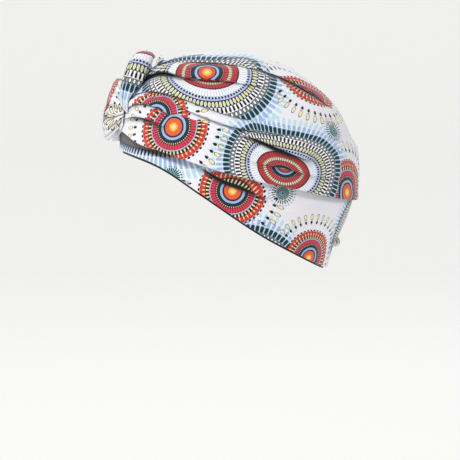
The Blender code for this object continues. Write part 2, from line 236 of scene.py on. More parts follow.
def reach(direction):
    """How far the head form reaches in a direction, in shares of the head's sizes."""
    x, y, z = direction[..., 0], direction[..., 1], direction[..., 2]
    angles = np.array([row.angle for row in OUTLINE])
    shares = np.array([row.reach for row in OUTLINE])
    angles = np.concatenate([angles[-3:] - 360, angles, angles[:3] + 360])
    shares = np.concatenate([shares[-3:], shares, shares[:3]])
    outline = curve(angles, shares, np.degrees(np.arctan2(z, -y)) % 360)
    side = np.abs(x) / (1 + EGG * y)
    fore = np.hypot(y, z) / outline
    return (side**ROUNDNESS + fore**ROUNDNESS) ** (-1 / ROUNDNESS)


def on_head(direction):
    return MIDDLE + SCALE * direction * reach(direction)[..., None]


def level(points):
    """1 on the head form, less inside it and more outside."""
    share = (points - MIDDLE) / SCALE
    length = np.linalg.norm(share, axis=-1)
    return length / reach(share / length[..., None])


STEP = 0.0005


def slopes(points):
    return np.stack([level(points + axis) - level(points - axis) for axis in np.eye(3) * STEP], -1)


def outward(points):
    return unit(slopes(points))


def stand_off(direction, distance):
    base = on_head(direction)
    return base + outward(base) * np.asarray(distance)[..., None]


def from_pole(along, rise):
    along = np.radians(along)[..., None]
    rise = np.radians(rise)[..., None]
    return np.cos(along) * POLE + np.sin(along) * (np.cos(rise) * SIDE + np.sin(rise) * POLE_UP)


def pole_angles(way):
    """How far directions lie from the knot and how far up round the head, in degrees."""
    along = np.degrees(np.arccos(np.clip(way @ POLE, -1, 1)))
    return along, np.degrees(np.arctan2(way @ POLE_UP, way @ SIDE))


def pleat_sizes(pleat, along):
    """A pleat's lift, the cloth it hides, the shade painted in its groove and how far it is formed, along its
    path.
    """
    sizes = np.zeros((4,) + np.shape(along))
    for span in pleat.spans:
        rising = (along - span.start) / (span.peak - span.start)
        falling = (span.end - along) / (span.end - span.peak)
        strength = np.sin(math.pi / 2 * np.clip(np.minimum(rising, falling), 0, 1))
        full = np.array([span.lift, span.hidden, span.dark, 1.0])
        sizes += full.reshape((4,) + (1,) * np.ndim(along)) * strength
    return sizes


def round_the_head(along):
    return SCALE[[0, 2]].mean() * np.maximum(np.sin(np.radians(along)), 0.02)


def cap_section(along):
    """Up each column of the cap: the angle round the head, the lift off the plain cap and the inside's lift,
    the cloth hidden and the shade. Also the row where each pleat's crease lies."""
    metres = round_the_head(along)
    paths = [curve(PATH_STATIONS, pleat.path, along) for pleat in PLEATS]
    sizes = [pleat_sizes(pleat, along) for pleat in PLEATS]
    rises, lifts, smooth, hidden, shades = [], [], [], [], []
    creases = {"hem": 0}
    taken = np.zeros_like(along)

    def reach_of(index):
        """Half the height of a pleat's fold rows, less where the pleats crowd together."""
        room = [np.radians(paths[index] - paths[index - 1]) * metres]
        room.append(np.radians(paths[index + 1] - paths[index]) * metres)
        return np.minimum(FOLD_REACH, 0.3 * np.minimum(*room))

    for number, (lower, upper) in enumerate(zip(PLEATS, PLEATS[1:])):
        low, high = paths[number], paths[number + 1]
        height = np.radians(high - low) * metres
        low_reach = reach_of(number) if lower.spans else np.zeros_like(along)
        high_reach = reach_of(number + 1) if upper.spans else np.zeros_like(along)
        ridge = PLEAT_LIFT * sizes[number][0]
        groove = PLEAT_LIFT * sizes[number + 1][0]
        if lower.spans:
            creases[lower.name] = len(rises) + len(FOLDS) // 2
            narrow = low_reach / FOLD_REACH
            shaped = ramp(0.0, 0.35, sizes[number][3])
            for order, fold in enumerate(FOLDS):
                plain = FOLD_REACH * (2 * order / (len(FOLDS) - 1) - 1)
                up = (plain + (fold.up - plain) * shaped) * narrow
                rises.append(low + np.degrees(up / metres))
                lifts.append(fold.out * ridge)
                smooth.append(0.3 * ridge)
                hidden.append(taken + fold.hidden * sizes[number][1])
                shades.append(fold.dark * sizes[number][2])
            taken = taken + sizes[number][1]
        steps = np.linspace(0, 1, lower.rows + 2)[(1 if lower.spans else 0) : (-1 if upper.spans else None)]
        if not upper.spans:
            steps = steps[:-1]
        for step in steps:
            up = low_reach + (height - low_reach - high_reach) * step
            above = (up - low_reach) / RIDGE_WIDTH
            below = (height - high_reach - up) / GROOVE_WIDTH
            puff = PUFF * math.sin(math.pi * step) * np.sin(np.radians(along)) ** 2
            lift = ridge * np.exp(-(above**2)) - 0.36 * groove * np.exp(-(below**2)) + puff
            rises.append(low + np.degrees(up / metres))
            lifts.append(lift)
            smooth.append(0.3 * lift)
            hidden.append(taken)
            # Painted shade, spreading from the crease down into the groove below it.
            shades.append(0.8 * sizes[number + 1][2] * np.exp(-((below / SHADE_REACH) ** 2)))
    near = list(zip(rises, lifts, smooth, hidden, shades))
    far = [
        (180 - rise, lift * FAR_SIDE, soft * FAR_SIDE, 2 * taken - hid, shade * 0.5)
        for rise, lift, soft, hid, shade in reversed(near)
    ]
    rows = near + [(np.full_like(along, 90.0), near[-1][1], near[-1][2], taken, np.zeros_like(along))] + far
    return [np.array([row[part] for row in rows]) for part in range(5)], creases


def above_edge(along, rise):
    metres = round_the_head(along)
    hem = curve(PATH_STATIONS, PLEATS[0].path, along)
    height = np.radians(np.minimum(rise, 180 - rise) - hem) * metres
    near_back = 1 - ramp(POLE_REACH * 0.5, POLE_REACH * 1.8, 180 - along)
    over_pole = np.where(along < 90, along < POLE_REACH, near_back)
    return height + (np.minimum(height, BROW_TUCK) - height) * over_pole


def cap_seat(height):
    return EASE + (CAP_SEAT - EASE) * (1 - ramp(BROW_TUCK * 1.6, BROW_TUCK * 1.6 + BROW_RISE, height))


def wrinkles(points, size, stretch):
    """Soft unevenness of the cloth, drawn out along a direction."""
    found = np.empty(points.shape[:-1])
    flat = points.reshape(-1, 3)
    along = stretch.reshape(-1, 3)
    for index, point in enumerate(flat):
        drawn = point - along[index] * (along[index] @ point) * 0.75
        found.flat[index] = noise.noise(Vector(drawn * size))
    return found


def turn_to(around, tilt):
    level_part = np.cos(around)[..., None] * HEM_FRONT + np.sin(around)[..., None] * SIDE
    return np.cos(tilt)[..., None] * level_part + np.sin(tilt)[..., None] * HEM_UP


def edge_tilt(around, table, raised, off):
    back = [row.back * HEAD_DEPTH / 2 for row in table]
    height = [-row.fall * CROWN_HEIGHT for row in table]
    low = np.full_like(around, math.radians(-60))
    high = np.full_like(around, math.radians(60))
    for _ in range(30):
        middle = (low + high) / 2
        point = stand_off(turn_to(around, middle), np.full_like(around, off))
        above = point[:, 2] > curve(back, height, point[:, 1]) + raised
        high = np.where(above, middle, high)
        low = np.where(above, low, middle)
    return (low + high) / 2


def half_round(edge_out, edge_in, down, count):
    """Rows that turn a cloth's edge from its outside to its inside in a half round."""
    middle = (edge_out + edge_in) / 2
    half = (edge_out - edge_in) / 2
    depth = RIM_DEPTH * np.linalg.norm(half, axis=-1)[..., None]
    angles = [math.pi * step / count for step in range(1, count)]
    return np.array([middle + half * math.cos(angle) + down * depth * math.sin(angle) for angle in angles])


def new_item(name, points, faces, material):
    mesh = bpy.data.meshes.new(name)
    mesh.from_pydata(points, [], faces)
    mesh.polygons.foreach_set("use_smooth", [True] * len(mesh.polygons))
    mesh.materials.append(material)
    item = bpy.data.objects.new(name, mesh)
    bpy.context.scene.collection.objects.link(item)
    return item


def skin(name, grid, ring, material):
    """A closed skin over a grid whose rows run over the cloth's outside and back along its inside."""
    rows, columns = grid.shape[:2]
    index = np.arange(rows * columns).reshape(rows, columns)
    above = np.roll(index, -1, axis=0)
    if ring:
        beside, corner = np.roll(index, -1, axis=1), np.roll(above, -1, axis=1)
        faces = np.stack([index, beside, corner, above], -1)
    else:
        faces = np.stack([index[:, :-1], index[:, 1:], above[:, 1:], above[:, :-1]], -1)
    return new_item(name, grid.reshape(-1, 3).tolist(), faces.reshape(-1, 4).tolist(), material)


def weld(item):
    """Joins points that lie on each other and turns every face outward."""
    shape = bmesh.new()
    shape.from_mesh(item.data)
    bmesh.ops.remove_doubles(shape, verts=shape.verts[:], dist=0.00001)
    bmesh.ops.recalc_face_normals(shape, faces=shape.faces[:])
    shape.to_mesh(item.data)
    shape.free()


# The print: rings of radial motifs round each medallion's middle. Outer is the ring's radius in mm. Wide and
# long are the motif's shares of its cell, taper widens it outwards, core is the share that its fill takes
# inside its line, and square is 2 for an oval and more for a bar. Ground None leaves the cloth bare.
INK = {
    "pale": (0.96, 0.95, 0.97),
    "cool": (0.90, 0.90, 0.95),
    "lining": (0.86, 0.86, 0.88),
    "straw": (1.00, 0.86, 0.55),
    "amber": (0.99, 0.66, 0.28),
    "orange": (0.90, 0.38, 0.20),
    "red": (0.76, 0.20, 0.22),
    "rose": (0.86, 0.22, 0.34),
    "maroon": (0.26, 0.06, 0.12),
    "navy": (0.09, 0.14, 0.20),
    "black": (0.05, 0.05, 0.07),
    "blue": (0.60, 0.73, 0.90),
    "sky": (0.76, 0.84, 0.95),
    "aqua": (0.74, 0.90, 0.92),
    "lilac": (0.74, 0.73, 0.88),
    "teal": (0.20, 0.46, 0.48),
    "deep": (0.02, 0.17, 0.21),
    "cream": (0.95, 0.88, 0.66),
    "ivory": (0.93, 0.90, 0.74),
    "lime": (0.84, 0.86, 0.50),
    "olive": (0.42, 0.40, 0.20),
    "grey": (0.46, 0.48, 0.50),
}


def plain(outer, colour):
    """A ring of one colour, with no motifs."""
    return Ring(outer, colour, colour, colour, 1, 1, 1, 0, 1, 2)


RINGS = {
    "red": (
        plain(2.2, "straw"),
        plain(3.5, "amber"),
        Ring(3.9, "olive", "amber", "amber", 8, 0.5, 1, 0, 1, 4),
        plain(7.2, "orange"),
        plain(8.8, "maroon"),
        plain(10.7, "blue"),
        plain(13.3, "navy"),
        Ring(14.7, "navy", "cream", "olive", 48, 0.55, 0.75, 0, 0.6, 2),
        Ring(19.2, "maroon", "rose", "red", 48, 0.80, 1.0, 0.05, 0.5, 5),
        plain(20.1, "lilac"),
        Ring(23.4, "black", "cream", "olive", 44, 0.46, 1.0, 0.1, 0.6, 3),
        Ring(26.8, "red", "cream", "orange", 44, 0.42, 1.0, -0.25, 0.5, 2),
        Ring(28.4, "red", "orange", "orange", 44, 0.5, 0.7, 0, 1, 2),
        Ring(30.2, None, "black", "black", 44, 0.62, 0.9, 0, 1, 2),
        Ring(35.5, None, "pale", "pale", 40, 0.5, 0.5, 0, 1, 2),
        Ring(40.0, None, "black", "black", 38, 0.38, 0.85, 0.35, 1, 2),
        Ring(47.0, None, "ivory", "olive", 38, 0.46, 0.94, 0, 0.60, 2),
    ),
    "wheel": (
        plain(2.2, "straw"),
        plain(4.2, "amber"),
        Ring(7.0, "orange", "red", "orange", 28, 0.4, 0.8, 0.3, 0.7, 3),
        plain(8.0, "maroon"),
        plain(10.2, "blue"),
        plain(13.4, "navy"),
        Ring(14.4, "navy", "cream", "olive", 56, 0.55, 0.7, 0, 0.6, 2),
        Ring(18.0, "maroon", "rose", "red", 56, 0.74, 1.0, 0.1, 0.5, 4),
        Ring(21.6, "grey", "cream", "teal", 56, 0.70, 0.9, 0, 0.55, 3),
        Ring(25.8, "maroon", "red", "red", 56, 0.85, 1.1, 0, 0.75, 6),
        Ring(27.0, "maroon", "black", "maroon", 56, 0.7, 0.8, 0, 0.8, 2),
        Ring(33.8, "blue", "pale", "sky", 76, 0.86, 1.05, 0, 0.7, 8),
        Ring(36.4, "sky", "black", "navy", 76, 0.62, 1.0, 0.7, 0.8, 2),
        plain(37.4, "lilac"),
        plain(38.2, "navy"),
        Ring(43.4, "navy", "lime", "pale", 76, 0.70, 0.92, 0, 0.55, 2),
        Ring(48.6, "pale", "black", "navy", 76, 0.55, 0.92, 0.15, 0.8, 3),
        Ring(53.4, "grey", "pale", "black", 76, 0.72, 0.96, 0, 0.45, 2),
        Ring(60.0, "sky", "deep", "teal", 76, 0.80, 1.0, 0, 0.45, 4),
        Ring(67.0, None, "blue", "sky", 76, 0.66, 0.95, -0.1, 0.5, 4),
        Ring(73.0, None, "aqua", "sky", 76, 0.55, 0.95, -0.3, 0.6, 3),
    ),
    "flower": (
        plain(1.0, "deep"),
        Ring(6.6, "aqua", "deep", "teal", 26, 0.75, 1.0, 0, 0.5, 4),
        Ring(10.6, None, "black", "deep", 26, 0.46, 0.95, 0.2, 0.8, 3),
        Ring(13.5, None, "lilac", "sky", 26, 0.6, 0.95, 0.2, 0.6, 2),
    ),
    "spray": (
        Ring(4.0, None, "pale", "pale", 1, 0.4, 0.5, 0, 1, 2),
        Ring(14.5, "pale", "ivory", "black", 16, 0.72, 0.92, 0.1, 0.45, 2),
    ),
    "fringe": (
        plain(54.0, "pale"),
        Ring(60.0, "sky", "black", "deep", 124, 0.62, 1.0, -0.35, 0.5, 3),
        Ring(70.0, "pale", "blue", "sky", 124, 0.66, 1.0, 0, 0.5, 6),
        Ring(78.0, "pale", "sky", "aqua", 124, 0.70, 1.0, -0.2, 0.4, 3),
    ),
}
KINDS = list(RINGS)
SOLID = {kind: max(ring.outer for ring in rings if ring.ground) for kind, rings in RINGS.items()}
MOST_MOTIFS = 256.0
MOST_SQUARE = 8.0


def linear(colour):
    return tuple(((c + 0.055) / 1.055) ** 2.4 if c > 0.04045 else c / 12.92 for c in colour)


def paint(ink):
    return linear(INK[ink]) + (1.0,)


class Graph:
    """Short calls for a node tree."""

    def __init__(self, tree):
        self.tree = tree

    def add(self, kind, **facts):
        node = self.tree.nodes.new(kind)
        for name, value in facts.items():
            setattr(node, name, value)
        return node

    def join(self, value, socket):
        if isinstance(value, bpy.types.NodeSocket):
            self.tree.links.new(value, socket)
        else:
            socket.default_value = value

    def maths(self, operation, *values, clamp=False):
        node = self.add("ShaderNodeMath", operation=operation, use_clamp=clamp)
        for value, socket in zip(values, node.inputs):
            self.join(value, socket)
        return node.outputs[0]

    def blend(self, share, below, above, mode="MIX"):
        node = self.add("ShaderNodeMix", data_type="RGBA", blend_type=mode)
        self.join(share, node.inputs[0])
        self.join(below, node.inputs[6])
        self.join(above, node.inputs[7])
        return node.outputs[2]

    def pick(self, share, below, above):
        node = self.add("ShaderNodeMix", data_type="FLOAT")
        self.join(share, node.inputs[0])
        self.join(below, node.inputs[2])
        self.join(above, node.inputs[3])
        return node.outputs[0]

    def split(self, vector):
        node = self.add("ShaderNodeSeparateXYZ")
        self.join(vector, node.inputs[0])
        return node.outputs

    def mottle(self, at, scale, detail):
        node = self.add("ShaderNodeTexNoise")
        self.join(at, node.inputs["Vector"])
        self.join(scale, node.inputs["Scale"])
        self.join(detail, node.inputs["Detail"])
        return node

    def table(self, at, rows, reach_mm):
        """A colour and a number for each ring, read off at a share of the kind's reach."""
        node = self.add("ShaderNodeValToRGB")
        stops = node.color_ramp
        stops.interpolation = "CONSTANT"
        inner = 0.0
        for order, (outer, colour) in enumerate(rows):
            stop = stops.elements[0] if order == 0 else stops.elements.new(inner / reach_mm)
            stop.position = inner / reach_mm
            stop.color = colour
            inner = outer
        if len(stops.elements) > len(rows):
            stops.elements.remove(stops.elements[-1])
        self.join(at, node.inputs[0])
        return node.outputs[0], node.outputs[1]


def ring_rows(rings):
    """Five tables of colours and numbers that say a kind's rings to the shader."""
    reach_mm = rings[-1].outer
    inner = 0.0
    tables = [[], [], [], [], []]
    for ring in rings:
        ground = linear(INK[ring.ground or "pale"])
        tables[0].append((ring.outer, ground + (ring.wide,)))
        tables[1].append((ring.outer, paint(ring.fill)))
        tables[2].append((ring.outer, paint(ring.line)))
        place = (inner / reach_mm, ring.outer / reach_mm, ring.count / MOST_MOTIFS, ring.square / MOST_SQUARE)
        tables[3].append((ring.outer, place))
        bare = float(ring.ground is None)
        tables[4].append((ring.outer, (ring.long, ring.taper / 2 + 0.5, bare, ring.core)))
        inner = ring.outer
    return tables


def medallion_group():
    """One layer of the print: a place in mm round a medallion's middle and its kind, to colour and cover."""
    tree = bpy.data.node_groups.new("medallion", "ShaderNodeTree")
    for name in ("Place", "Kind"):
        kind = "NodeSocketVector" if name == "Place" else "NodeSocketFloat"
        tree.interface.new_socket(name, in_out="INPUT", socket_type=kind)
    tree.interface.new_socket("Color", in_out="OUTPUT", socket_type="NodeSocketColor")
    tree.interface.new_socket("Cover", in_out="OUTPUT", socket_type="NodeSocketFloat")
    g = Graph(tree)
    source = g.add("NodeGroupInput")
    x, y, _ = g.split(source.outputs["Place"])
    radius = g.maths("SQRT", g.maths("ADD", g.maths("MULTIPLY", x, x), g.maths("MULTIPLY", y, y)))
    turn = g.maths("DIVIDE", g.maths("ARCTAN2", y, x), 2 * math.pi)
    colours = [None] * 5
    numbers = [None] * 5
    at = None
    for order, name in enumerate(KINDS):
        reach_mm = RINGS[name][-1].outer
        share = g.maths("DIVIDE", radius, reach_mm)
        this = g.maths("COMPARE", source.outputs["Kind"], float(order), 0.4)
        at = share if at is None else g.pick(this, at, share)
        for slot, rows in enumerate(ring_rows(RINGS[name])):
            colour, number = g.table(share, rows, reach_mm)
            colours[slot] = colour if order == 0 else g.blend(this, colours[slot], colour)
            numbers[slot] = number if order == 0 else g.pick(this, numbers[slot], number)
    inner, outer, count = g.split(colours[3])
    long, taper, bare = g.split(colours[4])
    cell = g.maths("FRACT", g.maths("MULTIPLY", turn, g.maths("MULTIPLY", count, MOST_MOTIFS)))
    across = g.maths("MULTIPLY", g.maths("SUBTRACT", cell, 0.5), 2.0)
    out = g.maths("DIVIDE", g.maths("SUBTRACT", at, inner), g.maths("SUBTRACT", outer, inner))
    out = g.maths("SUBTRACT", g.maths("MULTIPLY", out, 2.0), 1.0)
    lean = g.maths("MULTIPLY", g.maths("SUBTRACT", taper, 0.5), 2.0)
    wide = g.maths("MULTIPLY", numbers[0], g.maths("ADD", 1.0, g.maths("MULTIPLY", lean, out)))
    power = g.maths("MULTIPLY", numbers[3], MOST_SQUARE)
    side = g.maths("POWER", g.maths("ABSOLUTE", g.maths("DIVIDE", across, wide)), power)
    tall = g.maths("POWER", g.maths("ABSOLUTE", g.maths("DIVIDE", out, long)), power)
    size = g.maths("ADD", side, tall)
    motif = g.maths("LESS_THAN", size, 1.0)
    core = g.maths("LESS_THAN", size, numbers[4])
    colour = g.blend(motif, colours[0], g.blend(core, colours[2], colours[1]))
    cover = g.maths("MULTIPLY", bare, g.maths("SUBTRACT", 1.0, motif))
    cover = g.maths("MULTIPLY", g.maths("LESS_THAN", at, 1.0), g.maths("SUBTRACT", 1.0, cover))
    sink = g.add("NodeGroupOutput")
    g.join(colour, sink.inputs["Color"])
    g.join(cover, sink.inputs["Cover"])
    return tree


def knit(g, vector, pitch):
    """The knit's own relief: rows of small slanted stitches, in metres along and up the cloth."""
    x, y, _ = g.split(vector)
    wale = g.maths("MULTIPLY", x, math.pi / pitch)
    slant = g.maths("MULTIPLY", g.maths("ABSOLUTE", g.maths("SINE", wale)), 1.1)
    along = g.maths("MULTIPLY", y, 2 * math.pi / (pitch * 0.8))
    course = g.maths("ADD", along, g.maths("MULTIPLY", slant, 2.0))
    height = g.maths("ADD", g.maths("MULTIPLY", g.maths("SINE", course), 0.4), slant)
    node = g.add("ShaderNodeBump")
    node.inputs["Strength"].default_value = 0.45
    node.inputs["Distance"].default_value = STITCH_DEPTH
    g.join(height, node.inputs["Height"])
    return node, height


def jersey(name, printed):
    material = bpy.data.materials.new(name)
    material.use_nodes = True
    g = Graph(material.node_tree)
    shader = material.node_tree.nodes["Principled BSDF"]
    weave = g.add("ShaderNodeUVMap", uv_map="weave")
    relief, stitch = knit(g, weave.outputs[0], PRINTED_PITCH if printed else BLACK_PITCH)
    spots = g.add("ShaderNodeTexCoord")
    cloud = g.mottle(spots.outputs["Object"], CLOUDS_PER_METRE, 4.0)
    fuzz = g.mottle(spots.outputs["Object"], FUZZ_PER_METRE, 2.0)
    if printed:
        group = medallion_group()
        kinds = g.split(g.add("ShaderNodeUVMap", uv_map="print_kind").outputs[0])
        colour = paint("pale")
        cool = paint("cool")
        colour = g.blend(g.maths("MULTIPLY", cloud.outputs[0], 0.8), colour, cool)
        for order, layer in enumerate(("print_under", "print_top")):
            place = g.add("ShaderNodeUVMap", uv_map=layer)
            shake = g.add("ShaderNodeVectorMath", operation="MULTIPLY_ADD")
            g.join(fuzz.outputs[1], shake.inputs[0])
            shake.inputs[1].default_value = (INK_BLEED, INK_BLEED, 0.0)
            g.join(place.outputs[0], shake.inputs[2])
            node = g.add("ShaderNodeGroup")
            node.node_tree = group
            g.join(shake.outputs[0], node.inputs["Place"])
            g.join(kinds[1 - order], node.inputs["Kind"])
            colour = g.blend(node.outputs["Cover"], colour, node.outputs["Color"])
        # Painted shade on the knit: lighter on the stitches' tops and darker between them, with the fuzz's
        # random mottle.
        stitch_shade = g.maths("ADD", 0.94, g.maths("MULTIPLY", stitch, 0.05))
        mottle_and_stitch_shade = g.maths("ADD", g.maths("MULTIPLY", fuzz.outputs[0], 0.12), g.maths("SUBTRACT", stitch_shade, 0.06))
        tone = g.add("ShaderNodeCombineColor")
        for socket in tone.inputs[:3]:
            g.join(mottle_and_stitch_shade, socket)
        colour = g.blend(1.0, colour, tone.outputs[0], mode="MULTIPLY")
        # The groove map holds painted shade first and the cloth's inside second.
        shade_and_inside = g.split(g.add("ShaderNodeUVMap", uv_map="groove").outputs[0])
        reverse = g.maths("MULTIPLY", shade_and_inside[1], REVERSE_SHARE)
        colour = g.blend(reverse, colour, paint("lining"))
        # Painted shade: black painted into the creases, under the cap's lip and in the rolls' gathers.
        shaded = g.maths("MULTIPLY", shade_and_inside[0], GROOVE_SHADE, clamp=True)
        colour = g.blend(shaded, colour, paint("black"))
        rough = g.maths("ADD", 0.62, g.maths("MULTIPLY", cloud.outputs[0], 0.2))
    else:
        # Painted light and shade on the black knit: lighter on the stitches' tops and darker between them.
        low = (0.006, 0.006, 0.008, 1.0)
        high = (0.022, 0.022, 0.026, 1.0)
        colour = g.blend(g.maths("MULTIPLY", stitch, 0.6, clamp=True), low, high)
        rough = g.maths("ADD", 0.7, g.maths("MULTIPLY", cloud.outputs[0], 0.2))
    g.join(colour, shader.inputs["Base Color"])
    g.join(rough, shader.inputs["Roughness"])
    g.join(relief.outputs[0], shader.inputs["Normal"])
    shader.inputs["Sheen Weight"].default_value = 0.25
    shader.inputs["Sheen Roughness"].default_value = 0.5
    shader.inputs["Specular IOR Level"].default_value = 0.3
    return material


# Every medallion, from the top one down. Along and rise are the degrees of its middle from the knot and up
# round the head, turn is in degrees, and wide and high are its scales. Strip is the pleat under the strip of
# cloth that holds its middle, and floor and roof are the pleats that it stays between.
PRINTS = rows(
    Print,
    ("flower", 117.5, -7.0, 0, 0.9, 0.9, "band"),
    ("flower", 133.6, 40.2, 0, 0.9, 0.9, "cap"),
    ("flower", 65.2, -14.6, 0, 1.3, 1.3, "band"),
    ("flower", 128.0, 96.0, 0, 0.9, 0.9, "cap"),
    ("flower", 124.0, 188.0, 0, 0.9, 0.9, "band"),
    ("red", 60.7, 13.2, 0, 1.0, 1.0, "cap", "hem", None, "temple"),
    ("red", 50.2, 18.0, 12, 1.0, 1.0, "cap", "temple", "temple", "ridge"),
    ("red", 95.6, -11.8, 0, 0.98, 0.98, "band"),
    ("red", 115.0, 69.0, 0, 1.0, 1.08, "cap", "crown"),
    ("red", 133.1, -42.9, 0, 0.85, 0.85, "band"),
    ("red", 52.0, 172.0, 0, 0.95, 0.95, "cap"),
    ("red", 92.0, 190.0, 0, 0.92, 0.92, "band"),
    ("red", 100.0, 112.0, 0, 0.95, 0.95, "cap"),
    ("red", 148.0, 128.0, 0, 0.92, 0.92, "cap"),
    ("red", 148.0, 205.0, 0, 0.88, 0.88, "band"),
    ("wheel", 69.3, 46.7, 0, 1.0, 0.96, "cap", "crown", "ridge"),
    ("wheel", 114.7, 7.1, 0, 0.86, 0.76, "cap", "hem"),
    ("fringe", 54.0, 37.6, -12, 1.5, 1.0, "band"),
    ("wheel", 107.5, -49.7, 0, 0.86, 0.86, "band"),
    ("wheel", 168.0, -90.0, 0, 0.62, 0.62, "band"),
    ("wheel", 62.0, 138.0, 30, 1.0, 0.95, "cap"),
    ("wheel", 112.0, 160.0, 0, 0.80, 0.75, "cap"),
    ("wheel", 120.0, 222.0, 0, 0.80, 0.80, "band"),
    ("wheel", 60.0, 214.0, 0, 0.85, 0.85, "band"),
    ("red", 150.5, 2.6, 0, 0.92, 0.92, "cap"),
)


class Decal:
    """A medallion's middle on the cloth, with the directions along and up the cloth there."""

    def __init__(self, row):
        self.row = row
        place = np.array([[row.along, row.rise], [row.along + 1, row.rise], [row.along, row.rise + 1]])
        points = on_head(from_pole(place[:, 0], place[:, 1]))
        self.centre = points[0]
        self.normal = outward(points[:1])[0]
        ahead = points[1] - points[0]
        ahead = unit(ahead - self.normal * (ahead @ self.normal))
        up = np.cross(self.normal, ahead)
        if up @ (points[2] - points[0]) < 0:
            up = -up
        turn = math.radians(row.turn)
        self.right = ahead * math.cos(turn) + up * math.sin(turn)
        self.up = up * math.cos(turn) - ahead * math.sin(turn)

    def places(self, points, moved):
        """Millimetres along and up the medallion. Moved is how far folded cloth pushes the print."""
        away = points - self.centre
        flat = away - self.normal * (away @ self.normal)[:, None]
        length = np.linalg.norm(away, axis=1)
        flat_length = np.linalg.norm(flat, axis=1)
        stretch = np.where(flat_length < 0.6 * length, 100, length / np.maximum(flat_length, 1e-9))
        flat = flat * np.where(length < 0.001, 1, stretch)[:, None] * CLOTH_OVER_HEAD + moved
        return np.stack([flat @ self.right / self.row.wide, flat @ self.up / self.row.high], -1) * 1000


UNSEEN = -1e9
OFF_THE_PRINT = 500.0


def dress(item, layers, weave, shade, reverse):
    """Writes the print's places on every face corner: the medallion on top there and the one under it. Layers
    holds, for each medallion from the top one down, its kind, its places at the points and whether each point
    may show it. Reverse is 1 on the inside of the cloth."""
    # Shade is painted shade; it goes with the inside's share into the groove map.
    dark = np.stack([shade, reverse], -1)
    mesh = item.data
    corners = np.empty(len(mesh.loops), int)
    mesh.loops.foreach_get("vertex_index", corners)
    starts = np.empty(len(mesh.polygons), int)
    counts = np.empty(len(mesh.polygons), int)
    mesh.polygons.foreach_get("loop_start", starts)
    mesh.polygons.foreach_get("loop_total", counts)
    face_of = np.repeat(np.arange(len(starts)), counts)
    far = np.full((len(mesh.vertices), 2), OFF_THE_PRINT)
    ranks = [np.full(len(starts), UNSEEN)] * 2
    for order, (kind, places, allowed) in enumerate(layers):
        radius = np.add.reduceat(np.hypot(*places[corners].T), starts) / counts
        shown = np.minimum.reduceat(allowed[corners].astype(int), starts) > 0
        beyond = np.where(radius > SOLID[kind] + 1, len(layers), 0)
        ranks.append(np.where((radius < RINGS[kind][-1].outer + 1) & shown, -beyond - order, UNSEEN))
    chosen = np.argsort(-np.array(ranks), axis=0, kind="stable")[:2] - 2
    kinds = np.zeros((len(corners), 2))
    for slot, name in enumerate(("print_top", "print_under")):
        values = far[corners]
        for order, (kind, places, allowed) in enumerate(layers):
            here = chosen[slot][face_of] == order
            values[here] = places[corners][here]
            kinds[here, slot] = KINDS.index(kind)
        mesh.uv_layers.new(name=name).data.foreach_set("uv", values.ravel())
    mesh.uv_layers.new(name="print_kind").data.foreach_set("uv", kinds.ravel())
    mesh.uv_layers.new(name="weave").data.foreach_set("uv", weave[corners].ravel())
    mesh.uv_layers.new(name="groove").data.foreach_set("uv", dark[corners].ravel())


def cloth_lengths(grid):
    """How far each point of a grid lies along its row and up its column, in metres."""
    across = np.linalg.norm(np.diff(grid, axis=1), axis=-1)
    across = np.concatenate([np.zeros((len(grid), 1)), across.cumsum(axis=1)], axis=1)
    up = np.linalg.norm(np.diff(grid, axis=0), axis=-1)
    up = np.concatenate([np.zeros((1, grid.shape[1])), up.cumsum(axis=0)], axis=0)
    return np.stack([across, up], -1)


def walled(outer, inner, base, way_up, picks):
    """A closed grid over a cloth's outside and inside with half round edges, the outside row that each of its
    rows belongs to, and the plain places where the print lies on it."""
    count = RIM_ROWS
    upper = half_round(outer[-1], inner[-1], way_up[-1], count)
    lower = half_round(outer[0], inner[0], -way_up[0], count)[::-1]
    grid = np.concatenate([outer, upper, inner[picks][::-1], lower])
    last = len(outer) - 1
    parts = (np.arange(len(outer)), np.full(len(upper), last), picks[::-1], np.zeros(len(lower), int))
    source = np.concatenate(parts)
    steps = np.zeros(len(grid))
    steps[len(outer) : len(outer) + len(upper)] = np.arange(1, count) * RIM_STEP
    steps[len(grid) - len(lower) :] = -np.arange(count - 1, 0, -1) * RIM_STEP
    places = base[source] + way_up[source] * steps[:, None, None]
    lengths = cloth_lengths(base)[source]
    lengths[..., 1] += steps[:, None]
    return grid, source, places, lengths


def turned_in(grid, outer):
    """1 at a walled grid's points on the inside of the cloth and 0 on the rest."""
    inside = np.zeros(grid.shape[:2])
    inside[len(outer) + RIM_ROWS - 1 : len(grid) - RIM_ROWS + 1] = 1
    return inside.ravel()


